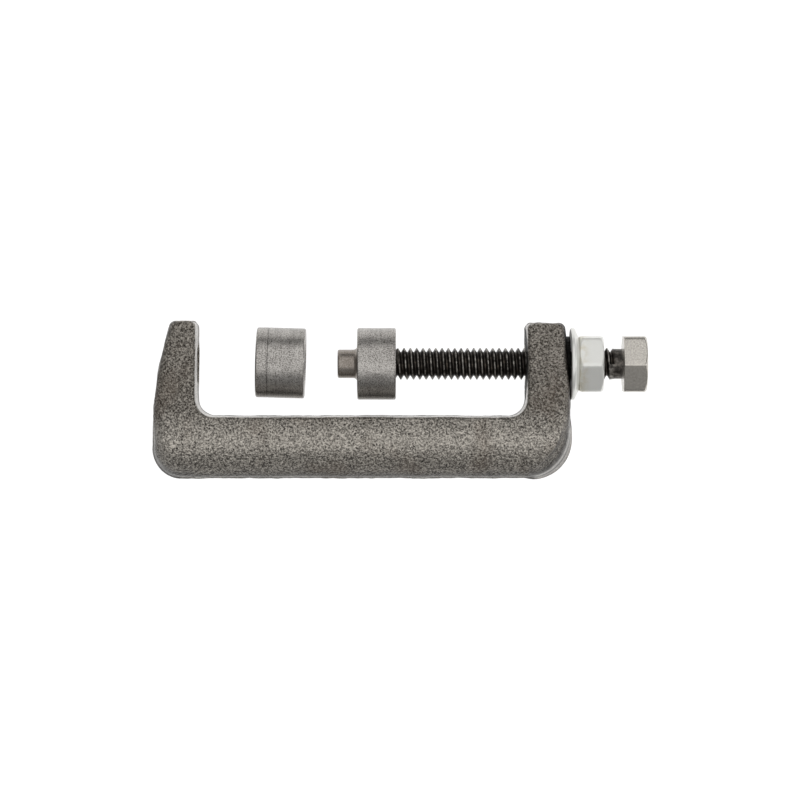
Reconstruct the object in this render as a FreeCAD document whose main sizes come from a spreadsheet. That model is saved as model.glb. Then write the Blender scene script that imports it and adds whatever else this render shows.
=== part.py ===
import FreeCAD, Part
import math
import os
import re
import Sketcher

# Screw-type ball joint separator: a forged C frame lying on its back, with a forcing
# screw through its right leg, a swivelling pusher cap on the screw's tip, a lock nut on
# a conical washer outside the leg and a loose receiving collar in the mouth.
# +X runs along the screw towards its head, +Y from the beam to the open mouth, +Z up.
# The origin is on the resting plane, under the middle of the whole tool. Millimetres.

sizes = {
    # frame, seen from above: a beam, a short tapered jaw and a leg for the screw
    "frame_length": 83.4,
    "frame_height": 31.2,
    "frame_thickness": 15.0,
    "beam_depth": 12.3,
    "jaw_thickness": 9.1,
    "jaw_lean": 3.6,
    "jaw_knee_height": 10.0,
    "leg_thickness": 9.3,
    "leg_height": 30.8,
    "leg_lean": 1.2,
    "leg_knee_height": 13.0,
    "heel_radius": 6.5,
    "toe_radius": 8.0,
    "tip_radius": 1.6,
    "mouth_radius": 3.3,
    "draft_radius": 1.1,
    "belly_radius": 5.0,
    "seat_radius": 4.2,
    "seat_depth": 0.5,
    "axis_height": 22.75,
    "hole_countersink": 0.35,
    "land_radius": 5.5,
    # screw thread, 1/4 inch with 20 turns to the inch, and the gap between its flanks
    "pitch": 1.27,
    "crest_radius": 3.13,
    "thread_depth": 0.77,
    "crest_flat": 0.16,
    "flank_gap": 0.14,
    "crest_gap": 0.17,
    "root_gap": 0.24,
    # forcing screw
    "neck_radius": 3.0,
    "neck_length": 2.18,
    "head_flats": 11.05,
    "head_height": 4.72,
    "head_chamfer": 0.55,
    "head_turn": 2.5,
    "shown_thread": 1.8,
    "thread_run_out": 0.45,
    "tip_length": 4.4,
    "journal_radius": 2.45,
    "tip_chamfer": 0.3,
    # pusher cap
    "cap_radius": 7.2,
    "cap_length": 7.74,
    "cap_chamfer": 0.4,
    "cap_to_leg": 25.55,
    "nose_radius": 2.85,
    "nose_length": 3.94,
    "nose_fillet": 0.85,
    "nose_chamfer": 0.25,
    "mouth_depth": 0.8,
    "running_gap": 0.08,
    # wire ring that keeps the cap on the screw
    "wire_radius": 0.4,
    "wire_from_shoulder": 1.6,
    "wire_side_gap": 0.1,
    "wire_arc": 320.0,
    # receiving collar
    "collar_radius": 7.05,
    "collar_bore_radius": 4.75,
    "collar_length": 9.8,
    "collar_chamfer": 0.4,
    "collar_line_from_end": 2.4,
    "collar_line_width": 0.3,
    "collar_line_depth": 0.05,
    "collar_skew": -1.6,
    "collar_to_jaw": 11.45,
    "collar_offset": 0.2,
    # conical washer and lock nut
    "corner_inset": 0.1,
    "washer_radius": 7.2,
    "washer_gap": 0.27,
    "washer_sheet": 0.9,
    "washer_dish": 0.9,
    "washer_seat_radius": 5.3,
    "nut_flats": 10.95,
    "nut_height": 4.83,
    "nut_chamfer": 0.5,
    "nut_countersink": 0.45,
    "nut_turn": 4.0,
}

doc = FreeCAD.newDocument("ball_joint_separator")
sheet = doc.addObject("Spreadsheet::Sheet", "sizes")
for row, (alias, value) in enumerate(sizes.items(), start=1):
    sheet.set(f"A{row}", alias)
    sheet.set(f"B{row}", str(value))
    sheet.setAlias(f"B{row}", alias)
doc.recompute()

# Places along X, each an expression on the sheet's sizes, in the tool's own frame
total_length = ("(frame_length + washer_dish + washer_sheet + nut_height + shown_thread"
                " + neck_length + head_height)")
frame_left = f"(-{total_length} / 2)"
frame_right = f"({frame_left} + frame_length)"
leg_inside = f"({frame_right} - leg_thickness)"
nut_inside = f"({frame_right} + washer_dish + washer_sheet)"
neck_start = f"({nut_inside} + nut_height + shown_thread)"
cap_back = f"({leg_inside} - cap_to_leg)"
shoulder = f"({cap_back} - mouth_depth + running_gap * 2)"
tip_end = f"({shoulder} - tip_length)"
ring_centre = f"({shoulder} - wire_from_shoulder)"
axis_y = "(axis_height - frame_height / 2)"
axis_z = "(frame_thickness / 2)"

# Thread form: a 60 degree ridge, and the grooves that leave it or take it
slope = "tan(30)"
ridge_at_leg = f"({leg_inside} - 2 * pitch)"
root_radius = "(crest_radius - thread_depth)"
bore_radius = f"({root_radius} + root_gap)"
hole_root_radius = "(crest_radius + crest_gap)"
overcut = 0.1

# How far a cutting profile reaches past the metal
beyond = "1"


def bind(text):
    """The expression with each size's name pointing at its cell in the sheet."""
    return re.sub(r"[a-z]\w*", lambda m: f"sizes.{m[0]}" if m[0] in sizes else m[0], text)


def number(text):
    value = sheet.evalExpression(bind(text))
    return float(getattr(value, "Value", value))


def origin_part(body, role):
    return next(part for part in body.Origin.OriginFeatures if part.Role == role)


def new_body(name):
    body = doc.addObject("PartDesign::Body", name)
    body.Label = name
    return body


def place(piece, x, y=axis_y, z=axis_z):
    for axis, text in zip("xyz", (x, y, z)):
        piece.setExpression(f".Placement.Base.{axis}", bind(text))


def outline(body, name, role, points, offset=("0", "0", "0"), turn=None):
    """A closed sketch through points given as expressions, each bound to the sheet.
    A third entry makes the run to the next point an arc of that radius, which turns
    left, or right where the entry starts with a minus. offset is in the plane's axes."""
    sketch = body.newObject("Sketcher::SketchObject", name)
    sketch.AttachmentSupport = [(origin_part(body, role), "")]
    sketch.MapMode = "FlatFace"
    for axis, text in zip("xyz", offset):
        sketch.setExpression(f".AttachmentOffset.Base.{axis}", bind(text))
    if turn:
        sketch.AttachmentOffset = FreeCAD.Placement(
            FreeCAD.Vector(*map(number, offset)),
            FreeCAD.Rotation(FreeCAD.Vector(0, 0, 1), number(turn)))
        sketch.setExpression(".AttachmentOffset.Rotation.Angle", bind(turn))
    spots = [FreeCAD.Vector(number(point[0]), number(point[1]), 0) for point in points]
    ends = []
    for index, point in enumerate(points):
        start, stop = spots[index], spots[(index + 1) % len(spots)]
        if len(point) == 2:
            sketch.addGeometry(Part.LineSegment(start, stop))
            ends.append((1, 2))
            continue
        radius = abs(number(point[2]))
        left = not point[2].startswith("-")
        chord = stop - start
        sagitta = radius - math.sqrt(radius ** 2 - (chord.Length / 2) ** 2)
        side = FreeCAD.Vector(chord.y, -chord.x, 0).normalize() * (sagitta if left else -sagitta)
        sketch.addGeometry(Part.Arc(start, (start + stop) * 0.5 + side, stop))
        ends.append((1, 2) if left else (2, 1))
    for index, point in enumerate(points):
        after = (index + 1) % len(points)
        sketch.addConstraint(
            Sketcher.Constraint("Coincident", index, ends[index][1], after, ends[after][0]))
        for kind, text in zip(("DistanceX", "DistanceY"), point):
            made = sketch.addConstraint(
                Sketcher.Constraint(kind, -1, 1, index, ends[index][0], number(text)))
            sketch.setExpression(f"Constraints[{made}]", bind(text))
        if len(point) == 3:
            radius = point[2].lstrip("-")
            made = sketch.addConstraint(Sketcher.Constraint("Radius", index, number(radius)))
            sketch.setExpression(f"Constraints[{made}]", bind(radius))
    return sketch


def turned(body, kind, name, points, offset=("0", "0", "0")):
    """A Revolution or a Groove of a profile about the sketch's own horizontal axis."""
    profile = outline(body, f"{name}_profile", "XY_Plane", points, offset)
    feature = body.newObject(f"PartDesign::{kind}", name)
    feature.Profile = profile
    feature.ReferenceAxis = (profile, ["H_Axis"])
    feature.Angle = 360
    doc.recompute()
    return feature


def hexagon(body, name, flats, start, height, turn):
    """A hexagonal prism along X, with a corner upwards before it is turned."""
    corner = f"({flats} / sqrt(3))"
    half = f"({flats} / 2)"
    points = [("0", corner), (f"-{half}", f"{corner} / 2"), (f"-{half}", f"-{corner} / 2"),
              ("0", f"-{corner}"), (half, f"-{corner} / 2"), (half, f"{corner} / 2")]
    sketch = outline(body, f"{name}_profile", "YZ_Plane", points, ("0", "0", start), turn)
    prism = body.newObject("PartDesign::Pad", name)
    prism.Profile = sketch
    prism.setExpression("Length", bind(height))
    doc.recompute()
    return prism


def break_corners(body, name, flats, face, inward, chamfer):
    """Turns a hexagon's corners down at one face, at 30 degrees to that face."""
    inner = f"({flats} / 2 - corner_inset)"
    outer = f"({flats} / 2 + 2 * {beyond})"
    rise = f"{inward} * ({outer} - {inner}) * {chamfer} / ({flats} / sqrt(3) - {inner})"
    turned(body, "Groove", name,
           [(face, inner), (f"{face} - {inward}", inner), (f"{face} - {inward}", outer),
            (f"{face} + {rise}", outer)])


def cut_thread(body, name, points, length, offset=("0", "0", "0")):
    """Cuts a right-handed helical groove of this profile along X."""
    profile = outline(body, f"{name}_profile", "XY_Plane", points, offset)
    helix = body.newObject("PartDesign::SubtractiveHelix", name)
    helix.Profile = profile
    helix.ReferenceAxis = (profile, ["H_Axis"])
    helix.Mode = 0
    helix.setExpression("Pitch", bind("pitch"))
    helix.setExpression("Height", bind(length))
    doc.recompute()
    return helix


def inner_thread(body, name, first_ridge, length, offset=("0", "0", "0")):
    """The groove of a threaded hole: the screw's ridge, wider by the flank's gap."""
    def half_width(radius):
        return f"(crest_flat / 2 + flank_gap + (crest_radius - {radius}) * {slope})"
    inner = f"({bore_radius} - {overcut})"
    points = [(f"{first_ridge} - {half_width(inner)}", inner),
              (f"{first_ridge} + {half_width(inner)}", inner),
              (f"{first_ridge} + {half_width(hole_root_radius)}", hole_root_radius),
              (f"{first_ridge} - {half_width(hole_root_radius)}", hole_root_radius)]
    return cut_thread(body, name, points, length, offset)


def fillet(body, name, radius, wanted):
    """Rounds each edge of the body's present tip that the test accepts."""
    base = body.Tip
    names = [f"Edge{number_of}" for number_of, edge in enumerate(base.Shape.Edges, start=1)
             if wanted(edge)]
    feature = body.newObject("PartDesign::Fillet", name)
    feature.Base = (base, names)
    feature.setExpression("Radius", bind(radius))
    doc.recompute()
    return feature


def upright_at(*corners):
    """Accepts an edge along Z that stands at one of these corners of the outline."""
    spots = [(number(x), number(y)) for x, y in corners]
    near = 1e-3

    def wanted(edge):
        first, last = edge.Vertexes[0].Point, edge.Vertexes[-1].Point
        middle = (first + last) * 0.5
        along_z = abs(first.z - last.z) > near and math.dist(first[:2], last[:2]) < near
        return along_z and any(math.dist(middle[:2], spot) < near for spot in spots)
    return wanted


def in_plane(*heights):
    levels = [number(height) for height in heights]
    near = 1e-3
    return lambda edge: any(abs(edge.BoundBox.ZMin - level) < near
                            and abs(edge.BoundBox.ZMax - level) < near for level in levels)


def make_frame():
    """Forged C: the outline padded upwards, its corners and edges rounded, the belly of
    the beam bull-nosed, a shallow seat in the jaw, and a threaded hole in the leg with a
    round flat land for the washer. The backs of the jaw and the leg are arcs that start
    upright at their knees."""
    body = new_body("c_frame")
    heel, toe = ("0", "0"), ("frame_length", "0")
    leg_knee = ("frame_length", "leg_knee_height")
    leg_tip = ("frame_length - leg_lean", "leg_height")
    leg_mouth_tip = ("frame_length - leg_thickness", "leg_height")
    leg_corner = ("frame_length - leg_thickness", "beam_depth")
    jaw_corner = ("jaw_thickness", "beam_depth")
    jaw_mouth_tip = ("jaw_thickness", "frame_height")
    jaw_tip = ("jaw_lean", "frame_height")
    jaw_knee = ("0", "jaw_knee_height")
    leg_rise = "(leg_height - leg_knee_height)"
    jaw_rise = "(frame_height - jaw_knee_height)"
    leg_back = f"((leg_lean ^ 2 + {leg_rise} ^ 2) / (2 * leg_lean))"
    jaw_back = f"((jaw_lean ^ 2 + {jaw_rise} ^ 2) / (2 * jaw_lean))"
    corners = [heel, toe, (*leg_knee, leg_back), leg_tip, leg_mouth_tip, leg_corner,
               jaw_corner, jaw_mouth_tip, (*jaw_tip, jaw_back), jaw_knee]
    blank = body.newObject("PartDesign::Pad", "blank")
    blank.Profile = outline(body, "blank_profile", "XY_Plane", corners)
    blank.setExpression("Length", bind("frame_thickness"))
    doc.recompute()
    rounds = {"heel": ("heel_radius", heel), "toe": ("toe_radius", toe),
              "tips": ("tip_radius", leg_tip, leg_mouth_tip, jaw_mouth_tip, jaw_tip),
              "mouth": ("mouth_radius", leg_corner, jaw_corner)}
    for name, (radius, *spots) in rounds.items():
        fillet(body, f"{name}_round", radius, upright_at(*spots))
    fillet(body, "draft_round", "draft_radius", in_plane("0", "frame_thickness"))

    belly = body.newObject("PartDesign::Pocket", "belly")
    below, above = f"(-{beyond})", f"frame_thickness + {beyond}"
    belly.Profile = outline(body, "belly_profile", "YZ_Plane", [
        (below, below), ("belly_radius", below), ("belly_radius", "0", "-belly_radius"),
        ("0", "belly_radius"), ("0", "frame_thickness - belly_radius", "-belly_radius"),
        ("belly_radius", "frame_thickness"), ("belly_radius", above), (below, above)])
    belly.Type = "ThroughAll"
    belly.Reversed = True
    doc.recompute()

    leg_start, leg_middle = "(frame_length - leg_thickness)", "frame_length - leg_thickness / 2"
    on_axis = ("0", "axis_height", axis_z)
    turned(body, "Revolution", "land", [(leg_middle, "0"), ("frame_length", "0"),
                                        ("frame_length", "land_radius"),
                                        (leg_middle, "land_radius")], on_axis)
    seat_bottom, seat_mouth = "jaw_thickness - seat_depth", f"jaw_thickness + {beyond}"
    turned(body, "Groove", "seat", [(seat_bottom, "0"), (seat_mouth, "0"),
                                    (seat_mouth, "seat_radius"),
                                    (seat_bottom, "seat_radius")], on_axis)
    countersink_radius = f"{hole_root_radius} + hole_countersink + {beyond}"
    countersink_depth = f"(hole_countersink + {hole_root_radius} - {bore_radius})"
    turned(body, "Groove", "hole", [
        (f"{leg_start} - {beyond}", "0"), (f"frame_length + {beyond}", "0"),
        (f"frame_length + {beyond}", countersink_radius),
        (f"frame_length - {countersink_depth}", bore_radius),
        (f"{leg_start} + {countersink_depth}", bore_radius),
        (f"{leg_start} - {beyond}", countersink_radius)], on_axis)
    inner_thread(body, "hole_thread", f"({ridge_at_leg} - {frame_left})",
                 "leg_thickness + 4 * pitch", on_axis)
    place(body, frame_left, "-frame_height / 2", "0")
    return body


def make_screw():
    """Hexagon-head screw: threaded from the shoulder to a plain neck under the head, and
    turned down at its tip to a journal with a groove for the wire ring."""
    body = new_body("forcing_screw")
    thread_start = "tip_length"
    thread_length = f"({neck_start} - {shoulder})"
    neck = f"({thread_start} + {thread_length})"
    head = f"({neck} + neck_length)"
    groove_middle = "(tip_length - wire_from_shoulder)"
    groove_half = "(wire_radius + wire_side_gap)"
    groove_radius = "(journal_radius - wire_radius - wire_side_gap)"
    turned(body, "Revolution", "shank", [
        ("0", "0"), ("0", "journal_radius - tip_chamfer"), ("tip_chamfer", "journal_radius"),
        (f"{groove_middle} - {groove_half}", "journal_radius"),
        (f"{groove_middle} - {groove_half}", groove_radius),
        (f"{groove_middle} + {groove_half}", groove_radius),
        (f"{groove_middle} + {groove_half}", "journal_radius"),
        (thread_start, "journal_radius"),
        (f"{thread_start} + crest_radius - journal_radius", "crest_radius"),
        (neck, "crest_radius"), (neck, "neck_radius"), (head, "neck_radius"), (head, "0")])
    hexagon(body, "head", "head_flats", head, "head_height", "head_turn")
    break_corners(body, "head_corners", "head_flats", f"({head} + head_height)", "(-1)",
                  "head_chamfer")
    # the groove lies half a pitch from the ridge, and starts outside the shoulder
    turns_before = f"(ceil(({leg_inside} - {shoulder}) / pitch) - 1)"
    groove = f"({ridge_at_leg} - (0.5 + {turns_before}) * pitch - {tip_end})"
    outer = f"(crest_radius + {overcut})"

    def half_width(radius):
        return f"(pitch / 2 - crest_flat / 2 - (crest_radius - {radius}) * {slope})"
    points = [(f"{groove} - {half_width(root_radius)}", root_radius),
              (f"{groove} + {half_width(root_radius)}", root_radius),
              (f"{groove} + {half_width(outer)}", outer),
              (f"{groove} - {half_width(outer)}", outer)]
    cut_thread(body, "thread", points, f"{neck} - {groove} + thread_run_out")
    place(body, tip_end)
    return body


def make_cap():
    """Pusher cap: a ring with a pilot nose in one piece, bored from behind for the
    screw's journal, with a mouth for the thread's end and a groove for the wire ring."""
    body = new_body("pusher_cap")
    back = "(nose_length + cap_length)"
    flare = "(nose_radius + nose_fillet)"
    bore = "(journal_radius + running_gap)"
    mouth = "(crest_radius + running_gap * 3)"
    bottom = f"({back} - {cap_back} + {tip_end} - running_gap)"
    middle = f"({back} - {cap_back} + {ring_centre})"
    half = "(wire_radius + wire_side_gap / 2)"
    groove = "(journal_radius + wire_radius + running_gap / 2)"
    turned(body, "Revolution", "blank", [
        ("0", "0"), (bottom, "0"), (bottom, bore), (f"{middle} - {half}", bore),
        (f"{middle} - {half}", groove), (f"{middle} + {half}", groove),
        (f"{middle} + {half}", bore), (f"{back} - mouth_depth", bore),
        (f"{back} - mouth_depth", mouth), (back, mouth),
        (back, "cap_radius - cap_chamfer"), (f"{back} - cap_chamfer", "cap_radius"),
        ("nose_length + cap_chamfer", "cap_radius"),
        ("nose_length", "cap_radius - cap_chamfer"), ("nose_length", flare, "-nose_fillet"),
        ("nose_length - nose_fillet", "nose_radius"), ("nose_chamfer", "nose_radius"),
        ("0", "nose_radius - nose_chamfer")])
    place(body, f"{cap_back} - {back}")
    return body


def make_retaining_ring():
    """Open ring of round wire, half in the cap's groove and half in the journal's."""
    ring = doc.addObject("Part::Torus", "retaining_ring")
    ring.Label = "retaining_ring"
    ring.setExpression("Radius1", bind("journal_radius"))
    ring.setExpression("Radius2", bind("wire_radius"))
    ring.setExpression("Angle3", bind("wire_arc"))
    along_x = FreeCAD.Rotation(FreeCAD.Vector(0, 1, 0), 90)
    ring.Placement = FreeCAD.Placement(FreeCAD.Vector(), along_x)
    place(ring, ring_centre)
    return ring


def make_collar():
    """Loose sleeve, with a fine turned line near its jaw end, lying on the ground."""
    body = new_body("receiving_collar")
    line_start = "(collar_line_from_end - collar_line_width / 2)"
    line_stop = "(collar_line_from_end + collar_line_width / 2)"
    end = "collar_length"
    turned(body, "Revolution", "sleeve", [
        ("0", "collar_bore_radius + collar_chamfer"), ("collar_chamfer", "collar_bore_radius"),
        (f"{end} - collar_chamfer", "collar_bore_radius"),
        (end, "collar_bore_radius + collar_chamfer"), (end, "collar_radius - collar_chamfer"),
        (f"{end} - collar_chamfer", "collar_radius"), (line_stop, "collar_radius"),
        ("collar_line_from_end", "collar_radius - collar_line_depth"),
        (line_start, "collar_radius"), ("collar_chamfer", "collar_radius"),
        ("0", "collar_radius - collar_chamfer")])
    body.Placement = FreeCAD.Placement(
        FreeCAD.Vector(), FreeCAD.Rotation(FreeCAD.Vector(0, 0, 1), number("collar_skew")))
    body.setExpression(".Placement.Rotation.Angle", bind("collar_skew"))
    place(body, f"{frame_left} + jaw_thickness + collar_to_jaw",
          f"{axis_y} + collar_offset - sin(collar_skew) * collar_length / 2", "collar_radius")
    return body


def make_washer():
    """Conical washer, its rim on the leg and its raised middle under the nut."""
    body = new_body("conical_washer")
    rim = "(washer_sheet / 2)"
    bore = "(crest_radius + washer_gap)"
    turned(body, "Revolution", "dish", [
        ("washer_dish", bore),
        ("0", f"washer_radius - {rim}", f"-{rim}"), (rim, "washer_radius", f"-{rim}"),
        ("washer_sheet", f"washer_radius - {rim}"),
        ("washer_dish + washer_sheet", "washer_seat_radius"),
        ("washer_dish + washer_sheet", bore)])
    place(body, frame_right)
    return body


def make_nut():
    """Hexagon lock nut, chamfered at both faces, with the same thread as the leg."""
    body = new_body("hex_nut")
    hexagon(body, "hexagon", "nut_flats", "0", "nut_height", "nut_turn")
    break_corners(body, "inner_corners", "nut_flats", "0", "1", "nut_chamfer")
    break_corners(body, "outer_corners", "nut_flats", "nut_height", "(-1)", "nut_chamfer")
    turned(body, "Groove", "bore", [
        (f"-{beyond}", "0"), (f"nut_height + {beyond}", "0"),
        (f"nut_height + {beyond}", f"{bore_radius} + nut_countersink + {beyond}"),
        ("nut_height - nut_countersink", bore_radius), ("nut_countersink", bore_radius),
        (f"-{beyond}", f"{bore_radius} + nut_countersink + {beyond}")])
    pitches = f"floor(({nut_inside} - {ridge_at_leg}) / pitch)"
    first_ridge = f"({ridge_at_leg} + ({pitches} - 1) * pitch - {nut_inside})"
    inner_thread(body, "thread", first_ridge, "nut_height + 3.5 * pitch")
    place(body, nut_inside)
    return body


pieces = [make_frame(), make_screw(), make_cap(), make_retaining_ring(), make_collar(),
          make_washer(), make_nut()]
doc.recompute()

for thing in doc.Objects:
    if {"Invalid", "Error"} & set(thing.State):
        raise RuntimeError(f"{thing.Name} did not build: {thing.State}")
for piece in pieces:
    if piece.Shape.isNull() or not piece.Shape.isValid() or len(piece.Shape.Solids) != 1:
        raise RuntimeError(f"{piece.Label} is not one sound solid")

os.makedirs("parts", exist_ok=True)
for piece in pieces:
    piece.Shape.exportStep(f"parts/{piece.Label}.step")
    box = piece.Shape.BoundBox
    print(f"{piece.Label}: {piece.Shape.Volume:.1f} mm3,"
          f" x {box.XMin:.2f} to {box.XMax:.2f}, y {box.YMin:.2f} to {box.YMax:.2f},"
          f" z {box.ZMin:.2f} to {box.ZMax:.2f}")
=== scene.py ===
import math
import bpy
import numpy as np
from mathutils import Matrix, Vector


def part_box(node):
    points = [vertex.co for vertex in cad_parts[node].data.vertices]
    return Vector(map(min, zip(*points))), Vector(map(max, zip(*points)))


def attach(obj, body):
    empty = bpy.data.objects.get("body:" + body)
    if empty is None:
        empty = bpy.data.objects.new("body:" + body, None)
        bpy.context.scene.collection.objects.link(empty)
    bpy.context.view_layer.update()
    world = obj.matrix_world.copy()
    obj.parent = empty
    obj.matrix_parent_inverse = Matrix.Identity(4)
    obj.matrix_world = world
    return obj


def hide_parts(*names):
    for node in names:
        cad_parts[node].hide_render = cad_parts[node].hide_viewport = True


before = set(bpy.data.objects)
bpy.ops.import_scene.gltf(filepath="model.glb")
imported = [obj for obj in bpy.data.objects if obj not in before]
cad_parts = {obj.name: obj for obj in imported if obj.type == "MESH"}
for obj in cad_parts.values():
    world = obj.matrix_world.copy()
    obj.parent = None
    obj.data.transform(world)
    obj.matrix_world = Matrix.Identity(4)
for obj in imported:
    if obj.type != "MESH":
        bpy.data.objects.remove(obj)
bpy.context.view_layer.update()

mm = 0.001  # shapes below are worked out in millimetres and stored in metres


def nodeBox(node):
    low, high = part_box(node)
    return np.array(low) / mm, np.array(high) / mm


frameLow, frameHigh = nodeBox("c_frame")
capLow, capHigh = nodeBox("pusher_cap")
screwLow, screwHigh = nodeBox("forcing_screw")
axisY, axisZ = (capLow[1:] + capHigh[1:]) / 2  # the screw's axis, along X


def smoothStep(low, high, value):
    # 0 up to low, 1 from high on, smooth between (and the other way round if low > high)
    t = np.clip((value - low) / (high - low), 0, 1)
    return t * t * (3 - 2 * t)


def valueNoise(points, wavelength, seed):
    # random heights on a cubic lattice, blended along each axis by a smooth step, from -1 to 1
    count = 48
    table = np.random.default_rng(seed).random((count, count, count)) * 2 - 1
    cell = points / wavelength
    base = np.floor(cell).astype(int)
    t = cell - base
    t = t * t * (3 - 2 * t)
    total = np.zeros(points.shape[:-1])
    for corner in np.ndindex(2, 2, 2):
        weight = np.prod(np.where(corner, t, 1 - t), axis=-1)
        x, y, z = np.moveaxis((base + corner) % count, -1, 0)
        total += weight * table[x, y, z]
    return total


def softPath(corners, radii, spacing, closed=False):
    # a polyline whose corners are tangent arcs of the given radii, sampled at a spacing
    corners = np.array(corners, float)
    count = len(corners)
    pieces = []
    for k in range(count):
        radius = radii[k]
        before, here, after = corners[k - 1], corners[k], corners[(k + 1) % count]
        if radius == 0 or (not closed and k in (0, count - 1)):
            pieces.append(here[None])
            continue
        towards = (before - here) / np.linalg.norm(before - here)
        away = (after - here) / np.linalg.norm(after - here)
        half = math.acos(np.clip(towards @ away, -1, 1)) / 2
        middleWay = (towards + away) / np.linalg.norm(towards + away)
        centre = here + middleWay * radius / math.sin(half)
        start = here + towards * radius / math.tan(half) - centre
        stop = here + away * radius / math.tan(half) - centre
        sweep = math.pi - 2 * half
        steps = int(radius * sweep / min(spacing, radius * 0.3)) + 1
        t = np.linspace(0, 1, max(3, steps))[:, None]
        pieces.append(centre + (start * np.sin((1 - t) * sweep) + stop * np.sin(t * sweep))
                      / math.sin(sweep))
    path = np.concatenate(pieces + ([pieces[0][:1]] if closed else []))
    runs = []
    for a, b in zip(path[:-1], path[1:]):
        steps = max(1, int(np.ceil(np.linalg.norm(b - a) / spacing)))
        runs.append(a + (b - a) * np.linspace(0, 1, steps, endpoint=False)[:, None])
    return np.concatenate(runs + ([] if closed else [path[-1:]]))


def softMin(first, second, power):
    # (first ** -power + second ** -power) ** (-1 / power): the smaller, eased where they meet
    return (first ** -power + second ** -power) ** (-1 / power)


def gridQuads(rows, columns, first=0):
    # quads between neighbouring rows of a grid whose columns close round
    i, j = np.meshgrid(np.arange(rows - 1), np.arange(columns), indexing="ij")
    after = (j + 1) % columns
    quads = np.stack([i * columns + j, i * columns + after,
                      (i + 1) * columns + after, (i + 1) * columns + j], axis=-1)
    return quads.reshape(-1, 4) + first


wornDepth = 0.11  # how far below its crest a thread is rubbed bright


class Shell:
    # rings of points round the X axis, each a row of one closed skin

    def __init__(self, angles):
        self.angles = np.asarray(angles)
        self.columns = len(self.angles)
        self.points, self.quads, self.others, self.marks = [], [], [], []
        self.count = 0

    def put(self, x, radius, mark=0.0):
        # point = (x, radius * cos(angle), radius * sin(angle)), for whole rows at once
        x, radius, mark, angle = np.broadcast_arrays(x, radius, mark, self.angles[None, :])
        self.points.append(np.stack([x, radius * np.cos(angle), radius * np.sin(angle)], -1)
                           .reshape(-1, 3))
        self.marks.append(mark.reshape(-1))
        first = self.count
        self.count += x.size
        return first, len(x)

    def rows(self, x, radius, mark=0.0, join=True):
        x = np.asarray(x, float).reshape(-1, 1)
        radius = np.asarray(radius, float)
        radius = radius.reshape(-1, 1) if radius.ndim < 2 else radius
        joined = join and self.count
        start = self.count - self.columns if joined else self.count
        first, count = self.put(x, radius, mark)
        self.quads.append(gridQuads(count + (1 if joined else 0), self.columns, start))
        return first, self.count - self.columns

    def band(self, before, after):
        # quads between two rings that aren't neighbours in the list
        j = np.arange(self.columns)
        k = (j + 1) % self.columns
        self.quads.append(np.stack([before + j, before + k, after + k, after + j], -1))

    def pole(self, ring, x, outward):
        centre = self.count
        self.points.append(np.array([[x, 0.0, 0.0]]))
        self.marks.append(np.zeros(1))
        self.count += 1
        j = np.arange(self.columns)
        k = (j + 1) % self.columns
        order = [ring + j, ring + k] if outward else [ring + k, ring + j]
        self.others += np.stack(order + [np.full(self.columns, centre)], -1).tolist()

    def thread(self, before, after, start, stop, form, pitch, fade, flip=False):
        # x = ridge + pitch * (pitches along + angle / full turn): each row follows the helix,
        # so a column's end meets the row one lead further on. Radius follows the form, and
        # fades to the neighbouring rings' radii over the stretches that fade gives.
        lead = len(form)
        ridge = firstRidge(start, self.angles[0])
        k = np.arange((int((stop - ridge) / pitch) + 2) * lead)
        along = form[k % lead, 0] + k // lead
        inside = (ridge + pitch * along >= start) & (ridge + pitch * along <= stop)
        k, along = k[inside], along[inside]
        part = (self.angles - self.angles[0]) / (2 * math.pi)
        x = ridge + pitch * (along[:, None] + part[None, :])
        startFrom, startTo, startRadius, endFrom, endTo, endRadius = fade
        radius = np.broadcast_to(form[k % lead, 1][:, None], x.shape)
        opening = smoothStep(startFrom, startTo, x)
        closing = smoothStep(endFrom, endTo, x)
        radius = startRadius + (radius - startRadius) * opening
        radius = radius + (endRadius - radius) * closing
        crest = form[:, 1].max()
        mark = smoothStep(crest - wornDepth, crest - 0.01, radius) * opening * (1 - closing)
        first, rows = self.put(x, radius, mark)
        columns, last = self.columns, self.columns - 1
        index = first + np.arange(rows * columns).reshape(rows, columns)
        quads = [np.stack([index[:-1, :-1], index[:-1, 1:], index[1:, 1:], index[1:, :-1]], -1)
                 .reshape(-1, 4),
                 np.stack([index[:rows - lead - 1, last], index[lead:-1, 0],
                           index[lead + 1:, 0], index[1:rows - lead, last]], -1)]
        j = np.arange(last)
        quads.append(np.stack([before + j, before + j + 1, index[0, 1:], index[0, :-1]], -1))
        quads.append(np.stack([index[-1, :-1], index[-1, 1:], after + j + 1, after + j], -1))
        others = [[before + last, before, *index[:lead + 1, 0], index[0, last]],
                  [index[-1 - lead, last], index[-1, 0], after, after + last,
                   *index[:-lead - 1:-1, last]]]
        if flip:
            quads = [block[:, ::-1] for block in quads]
            others = [face[::-1] for face in others]
        self.quads += quads
        self.others += [[int(v) for v in face] for face in others]

    def arrays(self):
        return (np.concatenate(self.points), np.concatenate(self.quads).tolist() + self.others,
                np.concatenate(self.marks))


def signedVolume(mesh):
    # sum over triangles of a . (b x c) / 6
    mesh.calc_loop_triangles()
    corners = np.empty(len(mesh.loop_triangles) * 3, int)
    mesh.loop_triangles.foreach_get("vertices", corners)
    spots = np.empty(len(mesh.vertices) * 3)
    mesh.vertices.foreach_get("co", spots)
    a, b, c = np.moveaxis(spots.reshape(-1, 3)[corners.reshape(-1, 3)], 1, 0)
    return np.einsum("ij,ij->", a, np.cross(b, c)) / 6


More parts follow.
